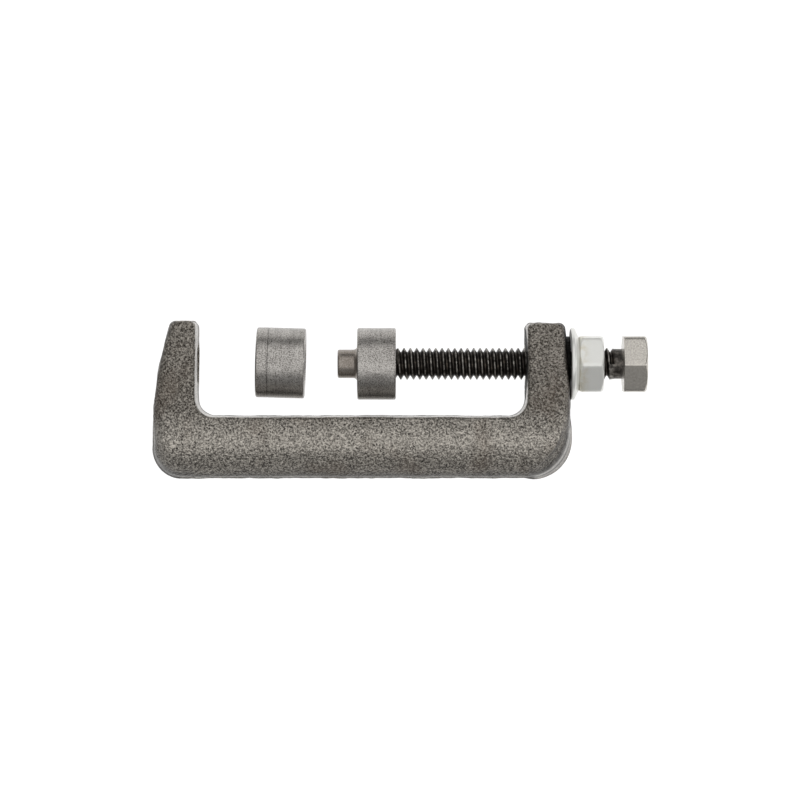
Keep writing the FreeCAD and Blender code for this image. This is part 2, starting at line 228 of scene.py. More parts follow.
def newObject(name, points, faces, marks=None, sharpAngle=40):
    mesh = bpy.data.meshes.new(name)
    mesh.from_pydata(np.asarray(points) * mm, [], faces)
    if signedVolume(mesh) < 0:
        mesh.flip_normals()
    for key, values in (marks or {}).items():
        layer = mesh.attributes.new(key, "FLOAT", "POINT")
        layer.data.foreach_set("value", np.asarray(values, np.float32))
    mesh.polygons.foreach_set("use_smooth", np.ones(len(mesh.polygons), bool))
    mesh.set_sharp_from_angle(angle=math.radians(sharpAngle))
    mesh.update()
    piece = bpy.data.objects.new(name, mesh)
    bpy.context.scene.collection.objects.link(piece)
    return piece


def finishPiece(piece, body, slotName, *nodes):
    piece.data.materials.clear()
    piece.data.materials.append(materials[slotName])
    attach(piece, body)
    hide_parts(*nodes)
    print("made", piece.name, len(piece.data.polygons), "faces")
    return piece


class Value:
    # a number socket that takes Python's arithmetic: each operation adds a Math node

    def __init__(self, shader, socket):
        self.shader, self.socket = shader, socket

    def maths(self, operation, *others):
        node = self.shader.add("ShaderNodeMath", {"operation": operation},
                               dict(enumerate((self, *others))))
        return Value(self.shader, node.outputs[0])

    def __add__(self, other): return self.maths("ADD", other)
    def __mul__(self, other): return self.maths("MULTIPLY", other)
    def __sub__(self, other): return self.maths("SUBTRACT", other)
    def __rsub__(self, other): return (self * -1) + other
    __radd__, __rmul__ = __add__, __mul__

    def between(self, low, high):
        # 0 at low, 1 at high, smooth between
        node = self.shader.add("ShaderNodeMapRange", {"interpolation_type": "SMOOTHSTEP"},
                               {"Value": self, "From Min": low, "From Max": high})
        return Value(self.shader, node.outputs[0])


class Shader:
    def __init__(self, name):
        self.material = bpy.data.materials.new(name)
        self.material.use_nodes = True
        self.tree = self.material.node_tree
        self.surface = self.tree.nodes["Principled BSDF"]
        self.place = self.add("ShaderNodeTexCoord").outputs["Object"]

    def add(self, kind, settings=None, sockets=None):
        node = self.tree.nodes.new(kind)
        for key, value in (settings or {}).items():
            if key == "stops":
                ramp = node.color_ramp.elements
                while len(ramp) < len(value):
                    ramp.new(1.0)
                for stop, (position, shade) in zip(ramp, value):
                    stop.position, stop.color = position, (*shade, 1)
            else:
                setattr(node, key, value)
        for key, value in (sockets or {}).items():
            self.feed(node.inputs[key], value)
        return node

    def feed(self, socket, value):
        if isinstance(value, Value):
            value = value.socket
        if isinstance(value, bpy.types.NodeSocket):
            self.tree.links.new(value, socket)
        elif isinstance(value, tuple) and len(value) == 3 and socket.type == "RGBA":
            socket.default_value = (*value, 1)
        else:
            socket.default_value = value

    def noise(self, size, detail, roughness, place=None):
        # size is the grain's own size in millimetres
        node = self.add("ShaderNodeTexNoise", None, {
            "Vector": place or self.place, "Scale": 1 / (size * mm), "Detail": detail,
            "Roughness": roughness})
        return Value(self, node.outputs["Fac"])

    def cells(self, size):
        # distance to the nearest of scattered points, size millimetres apart
        node = self.add("ShaderNodeTexVoronoi", {"feature": "F1"}, {
            "Vector": self.place, "Scale": 1 / (size * mm), "Randomness": 1.0})
        return Value(self, node.outputs["Distance"])

    def mark(self, name):
        return Value(self, self.add("ShaderNodeAttribute", {"attribute_name": name}).outputs["Fac"])

    def stretched(self, x, y, z):
        # coordinates whose grain runs long where the scale is small
        return self.add("ShaderNodeMapping", None,
                        {"Vector": self.place, "Scale": (x, y, z)}).outputs["Vector"]

    def mix(self, factor, first, second):
        node = self.add("ShaderNodeMix", {"data_type": "RGBA", "blend_type": "MIX"})
        self.feed(node.inputs[0], factor)
        self.feed(node.inputs[6], first)
        self.feed(node.inputs[7], second)
        return node.outputs[2]

    def finish(self, height=None, depth=0.05, **sockets):
        # height from 0 to 1 stands for depth millimetres of relief
        for name, value in sockets.items():
            self.feed(self.surface.inputs[name.replace("_", " ")], value)
        if height is not None:
            bump = self.add("ShaderNodeBump", None,
                            {"Strength": 1.0, "Distance": depth * mm, "Height": height})
            self.feed(self.surface.inputs["Normal"], bump.outputs["Normal"])
        return self.material


steelTones = {
    "forgedDark": (0.014, 0.012, 0.010), "forgedLight": (0.58, 0.54, 0.48),
    "forgedRust": (0.15, 0.112, 0.082), "forgedShade": (0.05, 0.036, 0.025),
    "ground": (0.86, 0.84, 0.81),
    "turnedDark": (0.12, 0.112, 0.102), "turnedLight": (0.58, 0.555, 0.525),
    "noseTint": (0.19, 0.15, 0.115), "blackBrown": (0.10, 0.083, 0.066),
    "zincDull": (0.78, 0.78, 0.745), "grease": (0.012, 0.011, 0.010),
    "black": (0.026, 0.022, 0.019), "worn": (0.37, 0.35, 0.32),
    "head": (0.70, 0.665, 0.605), "zinc": (0.84, 0.84, 0.805), "zincStain": (0.60, 0.54, 0.38),
    "wireDark": (0.22, 0.22, 0.23), "wireLight": (0.38, 0.38, 0.4),
}


def forgedSteel():
    # shot-blasted scale: sharp bright and dark grains, small pits, broad brown patches;
    # bare on the ground corners; lighter on the inner walls, partly a trimmed band and partly a
    # painted reflection; dark at the flash line, with painted shade low on the inner walls and on
    # the outer sides; a painted highlight along the beam's middle; painted shade, near black, in
    # the gap at the washer
    s = Shader("forgedSteel")
    grain = s.noise(0.40, 2.0, 0.6)
    fine = s.noise(0.22, 2.0, 0.6)
    lumps = s.noise(2.2, 3.0, 0.55)
    patches = s.noise(9.0, 2.0, 0.5)
    pits = 1 - s.cells(0.8).between(0.10, 0.26)
    wall, ground, flash = s.mark("wall"), s.mark("ground"), s.mark("flash")
    shot = 1 - s.cells(0.55).between(0.05, 0.75)
    # level also takes a painted highlight along the middle of the beam's faces
    level = (grain.between(0.42, 0.60) * 0.50 + fine.between(0.41, 0.59) * 0.32
             + shot * 0.10 + lumps.between(0.3, 0.7) * 0.08 + s.mark("rubbed") * 0.20)
    base = s.mix(level, steelTones["forgedDark"], steelTones["forgedLight"])
    base = s.mix(patches.between(0.48, 0.72) * 0.35, base, steelTones["forgedRust"])
    base = s.mix(pits * 0.6, base, steelTones["forgedDark"])
    streaks = s.noise(0.35, 2.0, 0.6, s.stretched(1.0, 1.0, 0.12))
    bare = s.mix(streaks.between(0.25, 0.6), steelTones["turnedLight"], steelTones["ground"])
    # partly a trimmed band, partly a painted reflection: lighter bare steel on the upper inner
    # walls
    base = s.mix(wall * lumps.between(0.15, 0.5) * 0.8, base, bare)
    base = s.mix(ground * 0.5, base, bare)
    # the flash mark: flash line, scratches and ground edges, with painted shade low on the inner
    # walls and on the outer sides
    base = s.mix(flash * 0.85, base, steelTones["forgedDark"])
    base = s.mix(s.mark("shade") * 0.3, base, steelTones["forgedShade"])
    # painted shade: near black round the screw where the leg meets the washer, in the gap between
    # them
    base = s.mix(s.mark("grease"), base, steelTones["grease"])
    height = grain * 0.45 + fine * 0.2 + shot * 0.3 + lumps * 0.3 - pits * 0.3
    return s.finish(height * (1 - ground * 0.8), 0.36, Base_Color=base, Metallic=0.88,
                    Roughness=0.45 - level * 0.17 - wall * 0.04 + s.mark("grease") * 0.2)


def turnedSteel():
    # turned then tumbled: fine speckle over faint rings, cut across the axis
    s = Shader("turnedSteel")
    speckle = s.noise(0.20, 2.0, 0.6)
    pits = 1 - s.cells(0.42).between(0.06, 0.20)
    broad = s.noise(3.5, 3.0, 0.55)
    rings = s.noise(0.16, 1.0, 0.5, s.stretched(1.0, 0.02, 0.02))
    level = (speckle.between(0.40, 0.58) * 0.65 + broad.between(0.3, 0.7) * 0.2
             + rings.between(0.3, 0.7) * 0.15)
    base = s.mix(level, steelTones["turnedDark"], steelTones["turnedLight"])
    base = s.mix(pits * 0.55, base, steelTones["forgedDark"])
    # painted shade: darker in the fine turned groove
    base = s.mix(s.mark("line") * 0.6, base, steelTones["forgedDark"])
    base = s.mix(s.mark("nose") * 0.55, base, steelTones["noseTint"])
    height = speckle * 0.5 - pits * 0.35 + rings * 0.3
    return s.finish(height, 0.05, Base_Color=base, Metallic=0.9,
                    Roughness=0.28 + level * 0.10)


def blackSteel():
    # black oxide on the thread, rubbed bright along its crests; the head is bare steel
    s = Shader("blackSteel")
    speckle = s.noise(0.2, 2.0, 0.6)
    scuffs = s.noise(0.9, 3.0, 0.6)
    # crest: worn crests, and on the neck partly a painted highlight
    crest = s.mark("crest") * scuffs.between(0.33, 0.66)
    head = s.mark("head")
    dark = s.mix(scuffs.between(0.45, 0.75), steelTones["black"], steelTones["blackBrown"])
    bare = s.mix(speckle.between(0.2, 0.8), steelTones["head"], steelTones["worn"])
    base = s.mix(crest, dark, steelTones["worn"])
    base = s.mix(head, base, bare)
    return s.finish(speckle * 0.6 + scuffs * 0.4, 0.02, Base_Color=base,
                    Metallic=0.8, Roughness=0.34 + speckle * 0.12 - head * 0.16)


def zincPlate():
    # bright zinc: soft clouds, fine lay marks and a yellow tinge low on the nut
    s = Shader("zincPlate")
    clouds = s.noise(2.2, 3.0, 0.6)
    fine = s.noise(0.22, 2.0, 0.6)
    stain = s.mark("stain") * clouds.between(0.30, 0.65)
    base = s.mix(clouds * 0.35 + fine * 0.25, steelTones["zinc"], steelTones["zincDull"])
    base = s.mix(stain * 0.6, base, steelTones["zincStain"])
    # painted shade: near black on the washer's face towards the leg
    base = s.mix(s.mark("grease"), base, steelTones["grease"])
    return s.finish(fine * 0.6 + clouds * 0.4, 0.012, Base_Color=base,
                    Metallic=0.5, Roughness=0.30 + clouds * 0.12)


def springWire():
    # drawn wire: fine grey speckle
    s = Shader("springWire")
    fine = s.noise(0.15, 2.0, 0.6)
    base = s.mix(fine, steelTones["wireDark"], steelTones["wireLight"])
    return s.finish(fine, 0.01, Base_Color=base, Metallic=0.9, Roughness=0.3 + fine * 0.1)


materials = {"forged_steel": forgedSteel(), "turned_steel": turnedSteel(),
             "black_steel": blackSteel(), "zinc_plate": zincPlate(), "spring_wire": springWire()}
print("materials ready")


# forged frame, measured in millimetres from its lower left corner
forging = {"beam": 12.45, "jaw": 9.05, "jawLean": 3.6, "jawKnee": 10.0, "leg": 9.1,
           "legHeight": 30.8, "legLean": 1.2, "legKnee": 13.0, "heel": 5.8, "toe": 7.6,
           "tip": 1.15, "mouth": 3.3, "spine": 8.3, "belly": 6.8, "back": 2.0, "inner": 0.9,
           "draft": 0.38, "heelDraft": 0.9, "toeDraft": 2.3, "crown": 0.55, "noseDrop": 0.74,
           "jawDrift": 0.73, "legDrift": 0.9, "spacing": 0.28, "arcPoints": 12, "capRows": 7,
           "flash": 0.25, "land": 5.5, "landRoot": 4, "seat": 4.2, "seatMouth": 4.6,
           "seatDepth": 0.5, "grease": 7.6, "gapShadeFrom": 70, "beamHighlightAt": 7.4,
           "beamHighlightWidth": 2.4}
# the ranges over which the two ground corners fade: along X, up from the beam's edge, and
# away from half thickness
groundToe = {"x": (74, 77), "y": (9.5, 12.0), "depth": (3.8, 4.6)}
groundHeel = {"x": (3.5, 6.0), "y": (5.0, 8.0), "depth": (2.6, 3.4)}
poleRing = 0.3  # radius of the last ring before a pole


# thread on the screw and in the two holes: 60 degrees, right hand
thread = {"pitch": 1.27, "crest": 3.18, "root": 2.4, "crestFlat": 0.16,
          "holeCrest": 2.60, "holeRoot": 3.30, "flankGap": 0.14, "columns": 96}
pitch = thread["pitch"]
legInside = frameHigh[0] - forging["leg"]
ridgeAtLeg = legInside - 2 * pitch  # a ridge stands here at angle 0
slope = math.tan(math.radians(30))


def threadForm(outer, inner, flat):
    # (share of a pitch from the ridge's middle, radius), from one ridge's middle to the next
    ridge = flat / 2 / pitch
    foot = ridge + (outer - inner) * slope / pitch
    rise = np.array([0, 0.13, 0.55, 1])
    shares = np.concatenate([[0], ridge + (foot - ridge) * rise, [0.5],
                             1 - foot + (foot - ridge) * rise])
    radii = np.concatenate([[outer], outer - (outer - inner) * rise, [inner],
                            inner + (outer - inner) * rise])
    return np.stack([shares, radii], axis=-1)


def holeForm():
    # the screw's form moved outwards, with a gap on both flanks
    widened = (thread["crestFlat"] + 2 * thread["flankGap"]
               - 2 * (thread["holeRoot"] - thread["crest"]) * slope)
    return threadForm(thread["holeRoot"], thread["holeCrest"], widened)


def firstRidge(x, angle):
    # the last ridge before x, at this angle round the axis
    ridge = ridgeAtLeg + pitch * angle / (2 * math.pi)
    return ridge + math.floor((x - ridge) / pitch) * pitch


def evenAngles(columns):
    return np.arange(columns) * 2 * math.pi / columns


def hexAngles(perSide, turn):
    # columns crowd towards each corner: share of half a side = 1 - (1 - t) ** 1.6.
    # Gives the angles round the axis, and the same measured from a flat's middle
    t = np.linspace(-1, 1, perSide + 1)[:-1]
    share = np.sign(t) * (1 - (1 - np.abs(t)) ** 1.6)
    sides = np.arange(6)[:, None] * math.pi / 3
    flat = (sides + share[None, :] * math.pi / 6).reshape(-1)
    return flat + math.radians(turn + 120), flat


def hexRadius(flat, flats, softness=0.10):
    # distance to the flat / cos(angle from its middle), eased where it nears the corner
    bend = (flat + math.pi / 6) % (math.pi / 3) - math.pi / 6
    straight = flats / 2 / np.cos(bend)
    corner = flats / math.sqrt(3) - softness
    return softMin(straight, corner, 90)


def chamferRadius(flats, depth):
    # a cone at 30 degrees to the face, starting just inside the flats
    return flats / 2 - 0.12 + depth / slope


def bevelRadius(hexagon, flats, depths):
    # a hexagon's radius where the chamfer cone cuts its corners, by depth below the face
    return softMin(hexagon, chamferRadius(flats, depths)[:, None], 60)


def ontoAxis(points):
    return points + np.array([0, axisY, axisZ])


# depths below a hexagon's face at which its chamfer is drawn, and where the straight part ends
chamferDepths = np.array([0, 0.015, 0.05, 0.11, 0.19, 0.29, 0.4, 0.52, 0.66, 0.9])
chamferEnd = 1.2


forcingScrew = {"journal": 2.45, "groove": 1.95, "grooveFromShoulder": 1.6, "grooveWidth": 1.0,
                "tip": 4.4, "neck": 3.0, "neckLength": 2.18, "headFlats": 11.05,
                "headHeight": 4.72, "headTurn": 2.5, "perSide": 16, "faceDish": 0.12,
                "faceShare": 0.97, "neckWearAndSheen": 0.25, "unevenness": 0.012}


def makeForcingScrew():
    # turned tip, thread with its run-outs, neck and hexagon, as one closed skin
    v = forcingScrew
    angles, flat = hexAngles(v["perSide"], v["headTurn"])
    shell = Shell(angles)
    tipEnd = screwLow[0]
    shoulder = tipEnd + v["tip"]
    headStart = screwHigh[0] - v["headHeight"]
    neckStart = headStart - v["neckLength"]
    groove = shoulder - v["grooveFromShoulder"]
    half = v["grooveWidth"] / 2
    tip = softPath([(tipEnd, 0.4), (tipEnd, v["journal"]), (groove - half, v["journal"]),
                    (groove - half, v["groove"]), (groove + half, v["groove"]),
                    (groove + half, v["journal"]), (shoulder, v["journal"])],
                   [0, 0.3, 0.05, 0.1, 0.1, 0.05, 0], 0.4)
    first, before = shell.rows(tip[:, 0], tip[:, 1])
    shell.pole(first, tipEnd, False)
    neck = softPath([(neckStart + 0.55, v["neck"]), (headStart, v["neck"]),
                     (headStart, v["neck"] + 0.6)], [0, 0.25, 0], 0.25)
    # the neck gets worn patches, partly real wear and partly a painted highlight
    after, neckEnd = shell.rows(neck[:, 0], neck[:, 1], v["neckWearAndSheen"], join=False)
    form = threadForm(thread["crest"], thread["root"], thread["crestFlat"])
    start = shoulder + 0.05
    shell.thread(before, after, start, neckStart + 0.5 - pitch, form, pitch,
                 (start, start + 0.7, v["journal"] + 0.02,
                  neckStart - 0.1, neckStart + 0.3, v["neck"]))
    height = v["headHeight"]
    hexagon = hexRadius(flat, v["headFlats"])[None, :]
    washerFace = v["headFlats"] / 2 * v["faceShare"]
    under = np.minimum(hexagon, washerFace + np.array([0.0, 0.02, 0.6, 9])[:, None])
    upper = bevelRadius(hexagon, v["headFlats"], chamferDepths[::-1])
    ringsIn = np.linspace(0.94, 0.15, 9)
    inside = ringsIn[:, None] * upper[-1:]
    dish = v["faceDish"] * (1 - ringsIn ** 2)
    startX = [headStart, headStart + 0.03, headStart + 0.05, headStart + 0.08]
    straight = np.linspace(headStart + 0.4, headStart + height - chamferEnd, 5)
    x = np.concatenate([startX, straight, headStart + height - chamferDepths[::-1],
                        headStart + height - dish])
    radius = np.concatenate([under, np.repeat(hexagon, 5, axis=0), upper, inside])
    seam, last = shell.rows(x, radius, join=False)
    shell.band(neckEnd, seam)
    shell.pole(last, headStart + height - v["faceDish"], True)
    points, faces, crest = shell.arrays()
    head = (points[:, 0] > headStart - 0.1).astype(float)
    noise = (valueNoise(points, 0.9, 5) * v["unevenness"]
             + valueNoise(points, 2.8, 6) * v["unevenness"])
    points[:, 1:] *= (1 + noise * head / 5)[:, None]
    piece = newObject("forcingScrew", ontoAxis(points), faces,
                      {"crest": crest * (1 - head), "head": head}, 32)
    return finishPiece(piece, "screw", "black_steel", "forcing_screw")


hexNut = {"flats": 10.95, "turn": 4.0, "perSide": 16, "countersink": 0.45, "stainTo": 2.2,
          "boreEdge": 0.12, "sinkEdge": 0.35}


def makeHexNut():
    # chamfered hexagon outside, countersunk threaded hole inside
    v = hexNut
    low, high = nodeBox("hex_nut")
    start, stop = low[0], high[0]
    angles, flat = hexAngles(v["perSide"], v["turn"])
    shell = Shell(angles)
    hexagon = hexRadius(flat, v["flats"])[None, :]
    side = bevelRadius(hexagon, v["flats"], chamferDepths)
    faceIn = np.linspace(0, 1, 6)[:, None]
    bore = thread["holeRoot"] + v["boreEdge"]
    sinkRadius = thread["holeCrest"] + v["sinkEdge"]
    opening = bore + (side[:1] - bore) * faceIn[:-1]
    straight = np.linspace(start + chamferEnd, stop - chamferEnd, 5)
    x = np.concatenate([np.full(5, start), start + chamferDepths, straight,
                        stop - chamferDepths[::-1], np.full(5, stop)])
    radius = np.concatenate([opening, side, np.repeat(hexagon, 5, axis=0), side[::-1],
                             opening[::-1]])
    first, _ = shell.rows(x, radius)
    sink = softPath([(stop, bore), (stop - v["countersink"], sinkRadius)], [0, 0], 0.2)[1:]
    _, outerSink = shell.rows(sink[:, 0], sink[:, 1])
    innerSink = softPath([(start + v["countersink"], sinkRadius), (start, bore)],
                         [0, 0], 0.2)[:-1]
    innerFirst, innerLast = shell.rows(innerSink[:, 0], innerSink[:, 1], join=False)
    shell.band(innerLast, first)
    begin, end = start + v["countersink"] + 0.02, stop - v["countersink"] - 0.02
    shell.thread(innerFirst, outerSink, begin, end - pitch, holeForm(), pitch,
                 (begin, begin + 0.5, sinkRadius, end - 0.5, end, sinkRadius), flip=True)
    points, faces, _ = shell.arrays()
    stain = 1 - smoothStep(start + 0.6, start + v["stainTo"], points[:, 0])
    points[:, 1:] *= (1 + valueNoise(points, 2.6, 8) * 0.0025)[:, None]
    piece = newObject("hexNut", ontoAxis(points), faces, {"stain": stain}, 32)
    return finishPiece(piece, "nut", "zinc_plate", "hex_nut")


def latheRing(outline, radii, spacing, columns, closed=True):
    # a profile of (x, radius) carried round the axis
    shell = Shell(evenAngles(columns))
    path = softPath(outline, radii, spacing, closed)
    first, last = shell.rows(path[:, 0], path[:, 1])
    if closed:
        shell.band(last, first)
    return shell, first, last


conicalWasher = {"radius": 7.2, "bore": 3.4, "sheet": 0.9, "dish": 0.9, "flatTo": 5.3,
                 "stain": 0.4, "columns": 160}


def makeConicalWasher():
    # a sheet whose rim stands on the leg and whose middle rises to the nut
    v = conicalWasher
    x = nodeBox("conical_washer")[0][0]
    nutSide = x + v["sheet"] + v["dish"]
    outline = [(x + v["dish"], v["bore"]), (x, v["radius"]), (x + v["sheet"], v["radius"]),
               (nutSide, v["flatTo"]), (nutSide, v["bore"])]
    shell, _, _ = latheRing(outline, [0.1, 0.3, 0.42, 0.9, 0.12], 0.2, v["columns"])
    points, faces, _ = shell.arrays()
    points[:, 1:] *= (1 + valueNoise(points, 3.0, 11) * 0.002)[:, None]
    outward = np.linalg.norm(points[:, 1:], axis=1) / v["radius"]
    # painted shade on the washer's face towards the leg, short of the rim
    under = points[:, 0] < x + v["dish"] * (1 - outward) * 1.9 + 0.25
    grease = under * (1 - smoothStep(0.93, 0.98, outward))
    stain = v["stain"] * (1 - smoothStep(0.70, 0.85, outward))
    piece = newObject("conicalWasher", ontoAxis(points), faces,
                      {"stain": stain, "grease": grease}, 50)
    return finishPiece(piece, "washer", "zinc_plate", "conical_washer")


def turnedNoise(points, fineSeed, broadSeed):
    # a turned surface's unevenness in millimetres
    return valueNoise(points, 0.7, fineSeed) * 0.010 + valueNoise(points, 2.4, broadSeed) * 0.012


pusherCap = {"radius": 7.2, "length": 7.74, "noseRadius": 2.85,
             "noseFillet": 0.85, "noseEdge": 0.35, "edge": 0.35, "mouth": 3.37,
             "mouthDepth": 0.8, "bore": 2.53, "boreDepth": 5.2, "columns": 160}


def makePusherCap():
    # ring and pilot nose in one turned piece, bored from behind
    v = pusherCap
    noseEnd, back = capLow[0], capHigh[0]
    ringStart = back - v["length"]
    bottom = back - v["boreDepth"]
    outline = [(noseEnd, poleRing), (noseEnd, v["noseRadius"]), (ringStart, v["noseRadius"]),
               (ringStart, v["radius"]), (back, v["radius"]), (back, v["mouth"]),
               (back - v["mouthDepth"], v["mouth"]), (back - v["mouthDepth"], v["bore"]),
               (bottom, v["bore"]), (bottom, poleRing)]
    radii = [0, v["noseEdge"], v["noseFillet"], v["edge"], v["edge"], 0.1, 0.1, 0.1, 0.2, 0]
    shell, first, last = latheRing(outline, radii, 0.16, v["columns"], closed=False)
    shell.pole(first, noseEnd, False)
    shell.pole(last, bottom, True)
    points, faces, _ = shell.arrays()
    outside = np.linalg.norm(points[:, 1:], axis=1) > v["mouth"] + 0.1
    noise = turnedNoise(points, 14, 15)
    points[:, 1:] *= (1 + (noise - 0.02) * outside / v["radius"])[:, None]
    nose = 1 - smoothStep(ringStart - 0.2, ringStart + 0.1, points[:, 0])
    piece = newObject("pusherCap", ontoAxis(points), faces, {"nose": nose})
    return finishPiece(piece, "pusher", "turned_steel", "pusher_cap")


receivingCollar = {"radius": 7.05, "bore": 4.75, "length": 9.8, "edge": 0.4, "skew": -1.6,
                   "lineFromEnd": 2.4, "lineWidth": 0.22, "lineDepth": 0.05, "columns": 160}


def makeReceivingCollar():
    # sleeve with a fine turned line round it, turned a little in the mouth
    v = receivingCollar
    low, high = nodeBox("receiving_collar")
    half = v["length"] / 2
    outline = [(-half, v["bore"]), (-half, v["radius"]), (half, v["radius"]), (half, v["bore"])]
    edge = v["edge"]
    shell, _, _ = latheRing(outline, [edge] * 4, 0.11, v["columns"])
    points, faces, _ = shell.arrays()
    radius = np.linalg.norm(points[:, 1:], axis=1)
    outside = smoothStep(v["bore"] + 0.8, v["radius"] - 0.3, radius)
    offset = (points[:, 0] + half - v["lineFromEnd"]) / (v["lineWidth"] / 2)
    # line both cuts the fine groove and marks where its painted shade goes
    line = np.exp(-offset ** 2) * outside
    noise = turnedNoise(points, 17, 18) - 0.02
    points[:, 1:] *= (1 + (noise * outside - line * v["lineDepth"]) / radius)[:, None]
    turn = math.radians(v["skew"])
    x, y = points[:, :2].T.copy()
    points[:, 0] = x * math.cos(turn) - y * math.sin(turn)
    points[:, 1] = x * math.sin(turn) + y * math.cos(turn)
    piece = newObject("receivingCollar", points + (low + high) / 2, faces, {"line": line})
    return finishPiece(piece, "collar", "turned_steel", "receiving_collar")


def forgingOutline():
    # round the frame from its heel: the jaw's and the leg's backs are shallow arcs. A back's
    # last point is also its tip's corner
    v = forging
    length, height = (frameHigh - frameLow)[:2]

    def back(lean, knee, top):
        # x = lean * share ** 2 of the height above the knee
        share = np.linspace(0, 1, v["arcPoints"])
        return np.stack([lean * share ** 2, knee + (top - knee) * share], axis=-1)

    legBack = back(v["legLean"], v["legKnee"], v["legHeight"]) * (-1, 1) + (length, 0)
    jawBack = back(v["jawLean"], v["jawKnee"], height)[::-1]
    leg, jaw, beam = length - v["leg"], v["jaw"], v["beam"]
    corners = [(0, 0), (length, 0), *legBack, (leg, v["legHeight"]), (leg, beam), (jaw, beam),
               (jaw, height), *jawBack]
    tip, mouth, straight = v["tip"], v["mouth"], [0] * (v["arcPoints"] - 1)
    radii = [v["heel"], v["toe"], *straight, tip, tip, mouth, mouth, tip, tip, *straight]
    return softPath(corners, radii, 0.12, closed=True)


def reach(base, direction, outline):
    # how far each base point is from the outline's nearest crossing along its direction:
    # the cross product of the offset and the edge over that of the direction and the edge
    a, b = outline, np.roll(outline, -1, axis=0)
    run = b - a
    offset = a[None] - base[:, None]
    cross = direction[:, None, 0] * run[None, :, 1] - direction[:, None, 1] * run[None, :, 0]
    cross = np.where(np.abs(cross) < 1e-12, 1e-12, cross)
    along = (offset[..., 0] * run[None, :, 1] - offset[..., 1] * run[None, :, 0]) / cross
    share = (offset[..., 0] * direction[:, None, 1]
             - offset[..., 1] * direction[:, None, 0]) / cross
    hit = (share >= -1e-6) & (share <= 1 + 1e-6) & (along > 1e-6)
    return np.where(hit, along, np.inf).min(axis=1)


def spineRows():
    # where each section stands, and its direction towards the mouth: straight up the jaw,
    # fanned round each inside corner, straight along the beam
    v = forging
    length, height = (frameHigh - frameLow)[:2]
    step, radius = v["spacing"], v["spine"]
    centreY = v["beam"] + v["mouth"]
    left, right = v["jaw"] + v["mouth"], length - v["leg"] - v["mouth"]
    rounding = v["inner"]
    closing = 1 - np.cos(np.linspace(0, math.pi / 2, 9)[1:])  # the tips' edges, as an inset
    rise = np.sin(np.linspace(0, math.pi / 2, 9)[1:])

    def upright(top):
        # heights from the corner's centre to the tip, crowding where the tip rounds over
        straight = np.linspace(centreY, top - rounding, int((top - centreY) / step) + 1)
        return np.concatenate([straight, top - rounding + rounding * rise]), \
            np.concatenate([straight * 0, rounding * closing])

    def climbed(y):
        # the share of the height above the corner's centre, slow to start
        return ((y - centreY) / (height - centreY)) ** 1.6

    jawY, jawInset = upright(height - 1e-3)
    legY, legInset = upright(v["legHeight"] - 1e-3)
    jawX = left - radius + (v["jawLean"] * v["jawDrift"]) * climbed(jawY)
    jaw = np.stack([jawX, jawY], -1)[::-1]
    leg = np.stack([right + radius - v["legDrift"] * climbed(legY), legY], -1)
    turn = np.linspace(0, math.pi / 2, int(radius * 1.9 / step))[1:-1]
    fan = np.stack([np.cos(turn), np.sin(turn)], -1)
    heel = (left, centreY) - radius * fan
    toe = np.array([right, centreY]) - radius * fan[::-1] * (-1, 1)
    beamX = np.linspace(left, right, int((right - left) / step) + 1)
    beam = np.stack([beamX, np.full_like(beamX, centreY - radius)], -1)
    base = np.concatenate([jaw, heel, beam, toe, leg])
    direction = np.concatenate([np.tile((1.0, 0.0), (len(jaw), 1)), fan,
                                np.tile((0.0, 1.0), (len(beam), 1)), fan[::-1] * (-1, 1),
                                np.tile((-1.0, 0.0), (len(leg), 1))])
    inset = np.concatenate([jawInset[::-1], np.zeros(len(heel) + len(beam) + len(toe)), legInset])
    belly = smoothStep(len(jaw) - 10, len(jaw) + len(heel), np.arange(len(base))) \
        * (1 - smoothStep(len(jaw) + len(heel) + len(beam), len(base) - len(leg) + 10,
                          np.arange(len(base))))
    return base, direction, inset, belly


def sectionPoints(outer, inner, thickness, outerRound, innerRound, inset):
    # a rounded rectangle for every row at once: walls and faces by linear runs, corners by
    # quarter circles; all arguments are columns, one entry per row
    low, high = -outer + inset * 0.15, inner - inset * 0.15
    bottom, top = inset, thickness - inset
    middle = thickness / 2
    wall, face, arc, inside = (np.linspace(0, 1, count) for count in (13, 34, 11, 27))
    outerRound = np.minimum(outerRound, (high - low) * 0.62)
    innerRound = np.minimum(innerRound, (high - low) * 0.30)
    outerRise = outerRound * forging["noseDrop"]

    def line(a, b, t):
        return a + (b - a) * t[None, :-1]

    def corner(centre, edge, radius, rise, start, t):
        angle = start - t[None, :-1] * math.pi / 2
        return centre + radius * np.cos(angle), edge + rise * np.sin(angle)

    across, up = [], []
    runs = [
        (line(low, low, wall), line(middle, top - outerRise, wall)),
        corner(low + outerRound, top - outerRise, outerRound, outerRise, math.pi, arc),
        (line(low + outerRound, high - innerRound, face), line(top, top, face)),
        corner(high - innerRound, top - innerRound, innerRound, innerRound, math.pi / 2, arc),
        (line(high, high, inside), line(top - innerRound, bottom + innerRound, inside)),
        corner(high - innerRound, bottom + innerRound, innerRound, innerRound, 0, arc),
        (line(high - innerRound, low + outerRound, face), line(bottom, bottom, face)),
        corner(low + outerRound, bottom + outerRise, outerRound, outerRise, -math.pi / 2, arc),
        (line(low, low, wall), line(bottom + outerRise, middle, wall)),
    ]
    for a, z in runs:
        across.append(np.broadcast_to(a, (len(outer), a.shape[1])))
        up.append(np.broadcast_to(z, (len(outer), z.shape[1])))
    return np.concatenate(across, axis=1), np.concatenate(up, axis=1)


def gridNormals(grid):
    # cross product of the two differences across each point, its columns closing round
    along = np.gradient(grid, axis=0)
    across = np.roll(grid, -1, axis=1) - np.roll(grid, 1, axis=1)
    normal = np.cross(across, along)
    return normal / np.maximum(np.linalg.norm(normal, axis=-1, keepdims=True), 1e-9)


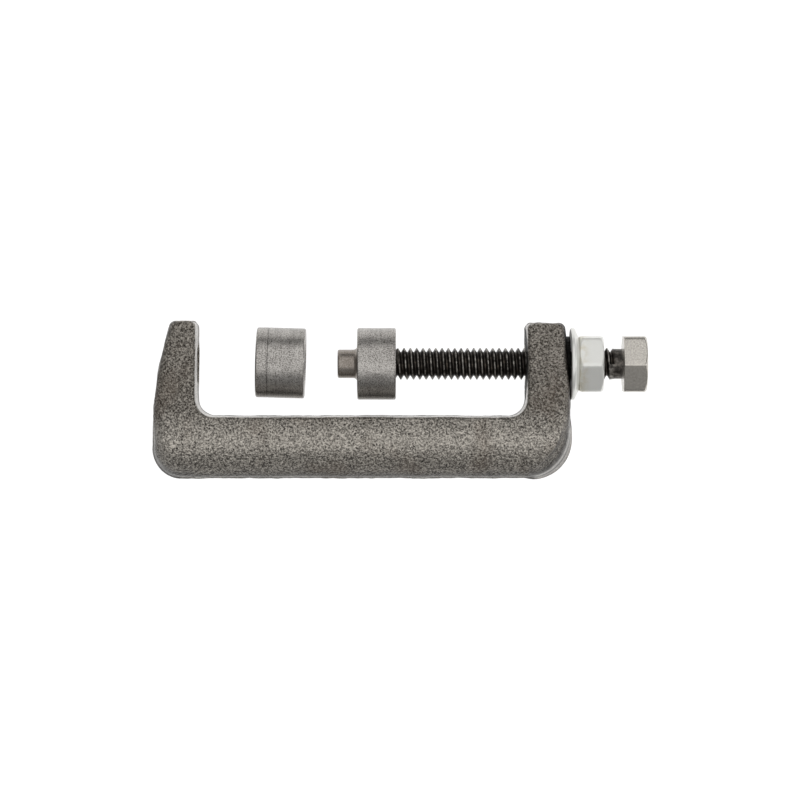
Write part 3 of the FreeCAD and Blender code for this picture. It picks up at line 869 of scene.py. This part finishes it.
def makeForging():
    # a rounded section carried round the C, its width read from the outline, its walls
    # drafted from a flash line at half thickness, then roughened along its own normals
    v = forging
    thickness = (frameHigh - frameLow)[2]
    outline = forgingOutline()
    base, direction, inset, belly = spineRows()
    outer = reach(base, -direction, outline)[:, None]
    inner = reach(base, direction, outline)[:, None]
    outerRound = (v["back"] + (v["belly"] - v["back"]) * belly)[:, None]
    a, z = sectionPoints(outer, inner, thickness, outerRound,
                         np.full_like(outerRound, v["inner"]), inset[:, None])
    away = np.abs(z - thickness / 2) / (thickness / 2)
    side = np.where(a < 0, -a / outer, a / inner)
    atCorner = np.exp(-((base[:, 1] - base[:, 1].min() - 2.2) / 2.0) ** 2)[:, None] \
        * (base[:, 1] > base[:, 1].min() + 0.3)[:, None]
    atCorner *= np.where(base[:, 0] > base[:, 0].mean(), v["toeDraft"], v["heelDraft"])[:, None]
    draft = v["draft"] + np.where(a < 0, atCorner, 0)
    a = a - np.sign(a) * draft * away * smoothStep(0.55, 1.0, side)
    crown = v["crown"] * smoothStep(-1.3, 2.3, a) * belly[:, None]
    z = z - np.sign(z - thickness / 2) * crown * smoothStep(0.75, 1.0, away)
    grid = np.stack([base[:, 0, None] + direction[:, 0, None] * a,
                     base[:, 1, None] + direction[:, 1, None] * a, z], axis=-1)

    # caps over the two tips, drawn in to a point
    shrink = np.linspace(1, 0.04, v["capRows"] + 1)[1:, None, None]
    starts = grid[0].mean(axis=0) + (grid[0] - grid[0].mean(axis=0)) * shrink[::-1]
    ends = grid[-1].mean(axis=0) + (grid[-1] - grid[-1].mean(axis=0)) * shrink
    grid = np.concatenate([starts, grid, ends])

    normal = gridNormals(grid)
    section = grid[len(grid) // 2]
    if (normal[len(grid) // 2] * (section - section.mean(axis=0))).sum() < 0:
        normal = -normal
    rowOf = np.clip(np.arange(len(grid)) - v["capRows"], 0, len(base) - 1)
    inward = np.einsum("ijk,ik->ij", normal[..., :2], direction[rowOf])
    marks, relief = forgingMarks(grid, normal, inward, thickness)
    grid = grid + normal * relief[..., None]

    rows, columns = grid.shape[:2]
    faces = gridQuads(rows, columns).tolist()
    faces.append(list(range(columns))[::-1])
    faces.append(list(range((rows - 1) * columns, rows * columns)))
    piece = newObject("frameForging", grid.reshape(-1, 3) + frameLow, faces,
                      {key: values.reshape(-1) for key, values in marks.items()}, 60)
    cutHole(piece)
    return finishPiece(piece, "frame", "forged_steel", "c_frame")


def forgingMarks(grid, normal, inward, thickness):
    # where the forging is ground, bare, shaded or dark, where it gets painted shade and a painted
    # highlight, and how far each point stands off its smooth section. inward is 1 on walls that
    # face the mouth
    v = forging
    above = grid[..., 2] - thickness / 2
    upward = np.abs(normal[..., 2])
    wall = 1 - smoothStep(0.10, 0.45, upward)
    toe = smoothStep(*groundToe["x"], grid[..., 0]) \
        * (1 - smoothStep(*groundToe["y"], grid[..., 1]))
    heel = (1 - smoothStep(*groundHeel["x"], grid[..., 0])) \
        * (1 - smoothStep(*groundHeel["y"], grid[..., 1]))
    wobble = valueNoise(grid, 6.0, 31) * 0.25
    ground = toe * (1 - smoothStep(*groundToe["depth"], np.abs(above) + wobble)) \
        + heel * wall * 0.6 * (1 - smoothStep(*groundHeel["depth"], np.abs(above)))
    innerWall = wall * smoothStep(0.2, 0.7, inward)
    flash = np.exp(-((above + wobble) / 0.28) ** 2) * (wall - innerWall)
    shadeLine = innerWall * smoothStep(2.2, 1.2, above + wobble) * smoothStep(-1.6, -0.6, above)
    scratches = sum(np.exp(-((np.abs(above) + wobble * 3 - height) / 0.45) ** 2)
                    for height in (1.5, 3.3)) * toe
    # painted shade on the outer walls and the belly's rounded side, away from the mouth
    under = (1 - smoothStep(0.30, 0.93, upward)) * smoothStep(0.0, -0.3, inward) \
        * (0.35 + 0.65 * smoothStep(0.02, 0.30, upward))
    # painted highlight: a lighter band along the middle of the beam's flat faces
    rubbed = np.exp(-((grid[..., 1] - v["beamHighlightAt"]) / v["beamHighlightWidth"]) ** 2) * (1 - wall)
    fromAxis = np.hypot(grid[..., 1] - axisY + frameLow[1], grid[..., 2] - axisZ)
    # painted shade: near black on the leg's walls round the washer, in the gap
    grease = wall * (1 - smoothStep(v["grease"] - 0.6, v["grease"] + 0.3, fromAxis)) \
        * (grid[..., 0] > v["gapShadeFrom"])
    edgeOfGround = ground * (1 - ground) * 4
    # dark: the flash line, the ground bands' edges and the scratches, with painted shade low on the
    # inner walls and on the outer sides
    dark = (flash * 0.5 + edgeOfGround * 0.7 + shadeLine + scratches * 0.7
            + under * (1 - 0.6 * ground))
    rough = (valueNoise(grid, 4.5, 32) * 0.10 + valueNoise(grid, 1.9, 33) * 0.055
             + valueNoise(grid, 0.95, 34) * 0.035 + valueNoise(grid, 0.62, 35) * 0.02)
    relief = (rough - 0.03) * (1 - 0.75 * ground) + flash * v["flash"] + ground * 0.2
    # wall: lighter steel on the walls facing the mouth, partly a trimmed band and partly a painted
    # reflection, less the painted shade line
    marks = {"ground": ground, "wall": innerWall - shadeLine, "grease": grease,
             "shade": smoothStep(10.5, 15.0, grid[..., 1]), "rubbed": rubbed,
             "flash": np.clip(dark, 0, 1)}
    return marks, relief


def plug(angles, outline, radii):
    # a solid of revolution whose outline runs from a pole to a pole
    shell = Shell(angles)
    path = softPath(outline, radii, 0.5)
    first, last = shell.rows(path[:, 0], path[:, 1])
    shell.pole(first, path[0, 0], False)
    shell.pole(last, path[-1, 0], True)
    return shell.arrays()[:2]


# the leg's hole: how wide and deep its countersinks are, and how far its tool stands out
legHole = {"widening": 0.5, "front": 0.5, "back": 0.35, "frontOut": 1.2, "backOut": 0.6,
           "core": 0.3}


def threadedPlug(angles, face):
    # a cone at 45 degrees into each face, and the thread between them
    v = legHole
    shell = Shell(angles)
    sink = thread["holeRoot"] + v["widening"]
    core = thread["holeCrest"] + v["core"]
    outside, beyond = legInside - v["frontOut"], face + v["backOut"]
    mouth = [(outside, poleRing), (outside, sink + v["frontOut"]),
             (legInside + v["front"], sink - v["front"]), (legInside + 0.52, core)]
    path = softPath(mouth, [0, 0, 0, 0], 0.5)
    first, before = shell.rows(path[:, 0], path[:, 1])
    shell.pole(first, outside, False)
    back = [(face - 0.37, core), (face - v["back"], sink - 0.5), (beyond, sink + 0.45),
            (beyond, poleRing)]
    path = softPath(back, [0, 0, 0, 0], 0.5)
    after, last = shell.rows(path[:, 0], path[:, 1], join=False)
    shell.pole(last, beyond, True)
    begin, end = legInside + 0.55, face - 0.4
    shell.thread(before, after, begin, end - pitch, holeForm(), pitch,
                 (begin, begin + 0.5, core, end - 0.5, end, core))
    return shell.arrays()[:2]


def cutHole(piece):
    # the washer's land, the threaded hole through the leg and the jaw's shallow round seat
    v = forging
    angles = evenAngles(thread["columns"])
    face = frameHigh[0]
    root = face - v["landRoot"]
    seatBottom = frameLow[0] + v["jaw"] - v["seatDepth"]
    seatTop = frameLow[0] + v["jaw"] + 1
    land = plug(angles, [(root, poleRing), (root, v["land"]), (face, v["land"]),
                         (face, poleRing)], [0, 0, 0.15, 0])
    seat = plug(angles, [(seatBottom, poleRing), (seatBottom, v["seat"]),
                         (seatTop, v["seatMouth"]), (seatTop, poleRing)], [0, 0.2, 0, 0])
    for name, way, tool in (("land", "UNION", land),
                            ("hole", "DIFFERENCE", threadedPlug(angles, face)),
                            ("seat", "DIFFERENCE", seat)):
        cutter = newObject(name, ontoAxis(tool[0]), tool[1])
        cut = piece.modifiers.new(name, "BOOLEAN")
        cut.object, cut.operation, cut.solver = cutter, way, "EXACT"
        bpy.context.view_layer.update()
        shaped = bpy.data.meshes.new_from_object(
            piece.evaluated_get(bpy.context.evaluated_depsgraph_get()))
        piece.modifiers.remove(cut)
        piece.data = shaped
        bpy.data.objects.remove(cutter)

    # the union brings no marks with it, so the land's painted shade is written here
    count = len(piece.data.vertices)
    spots, grease = np.empty(count * 3), np.empty(count)
    layer = piece.data.attributes["grease"].data
    piece.data.vertices.foreach_get("co", spots)
    layer.foreach_get("value", grease)
    x, y, z = spots.reshape(-1, 3).T / mm
    onLand = (np.hypot(y - axisY, z - axisZ) < v["land"] + 0.1) & (x > face - 2.4)
    layer.foreach_set("value", np.maximum(grease, onLand))


makeForging()
makeForcingScrew()
makePusherCap()
makeReceivingCollar()
makeConicalWasher()
makeHexNut()
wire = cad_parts["retaining_ring"]
wire.data.materials.clear()
wire.data.materials.append(materials["spring_wire"])
print("pieces made")


# studio, in metres: white table and soft boxes in rows above the tool, one low on the right
studio = {"table": 0.2, "tableGlow": 0.98, "tableReach": 3.0, "tableDrop": 0.0001,
          "background": 1.0, "horizon": 0.11, "lampDistance": 0.9,
          "distance": 0.658, "width": 0.1604, "sensor": 36}
# angle towards +Y, angle towards +X, size and radiance
lamps = {"key": (33, 0, (1.3, 1.04), 0.98), "middle": (-15, 0, (1.3, 0.56), 1.05),
         "fill": (-50, 0, (1.3, 0.66), 0.19), "right": (4, 72, (0.22, 0.35), 6.0)}


def makeTable():
    # a square sheet just below the tool, lit a little from within
    mesh = bpy.data.meshes.new("table")
    size, height = studio["tableReach"], -studio["tableDrop"]
    mesh.from_pydata([(-size, -size, height), (size, -size, height), (size, size, height),
                      (-size, size, height)], [], [(0, 1, 2, 3)])
    table = bpy.data.objects.new("table", mesh)
    bpy.context.scene.collection.objects.link(table)
    paint = bpy.data.materials.new("tablePaper")
    paint.use_nodes = True
    surface = paint.node_tree.nodes["Principled BSDF"]
    surface.inputs["Base Color"].default_value = (*[studio["table"]] * 3, 1)
    surface.inputs["Roughness"].default_value = 0.9
    surface.inputs["Emission Color"].default_value = (1, 1, 1, 1)
    surface.inputs["Emission Strength"].default_value = studio["tableGlow"]
    mesh.materials.append(paint)


def makeWorld():
    # dim round the horizon for the metal to reflect, pale behind everything for the camera
    world = bpy.data.worlds.new("studio")
    world.use_nodes = True
    bpy.context.scene.world = world
    tree = world.node_tree
    seen = tree.nodes["Background"]
    seen.inputs["Color"].default_value = (1, 1, 1, 1)
    seen.inputs["Strength"].default_value = studio["background"]
    lit = tree.nodes.new("ShaderNodeBackground")
    lit.inputs["Color"].default_value = (1, 1, 1, 1)
    lit.inputs["Strength"].default_value = studio["horizon"]
    path = tree.nodes.new("ShaderNodeLightPath")
    mix = tree.nodes.new("ShaderNodeMixShader")
    tree.links.new(path.outputs["Is Camera Ray"], mix.inputs[0])
    tree.links.new(lit.outputs[0], mix.inputs[1])
    tree.links.new(seen.outputs[0], mix.inputs[2])
    tree.links.new(mix.outputs[0], tree.nodes["World Output"].inputs[0])


def softBox(name, angle, across, size, radiance):
    # a lamp turned by angle from straight above towards +Y, and by across towards +X
    lamp = bpy.data.lights.new(name, "AREA")
    lamp.shape, lamp.size, lamp.size_y = "RECTANGLE", size[0], size[1]
    lamp.energy = radiance * math.pi * size[0] * size[1]
    thing = bpy.data.objects.new(name, lamp)
    bpy.context.scene.collection.objects.link(thing)
    away = studio["lampDistance"]
    tilt, lean = math.radians(angle), math.radians(across)
    thing.location = (away * math.sin(lean), away * math.sin(tilt) * math.cos(lean),
                      away * math.cos(tilt) * math.cos(lean))
    thing.rotation_euler = (-tilt, lean, 0)


makeTable()
makeWorld()
for lampName, lamp in lamps.items():
    softBox(lampName, *lamp)

camera = bpy.data.cameras.new("camera")
camera.sensor_width = studio["sensor"]
camera.lens = studio["sensor"] * studio["distance"] / studio["width"]
camera.clip_start, camera.clip_end = 0.01, 20
eye = bpy.data.objects.new("camera", camera)
bpy.context.scene.collection.objects.link(eye)
eye.location = (0, -0.0001, axisZ * mm + studio["distance"])
bpy.context.scene.camera = eye
bpy.context.scene.view_settings.view_transform = "Standard"
print("studio ready")
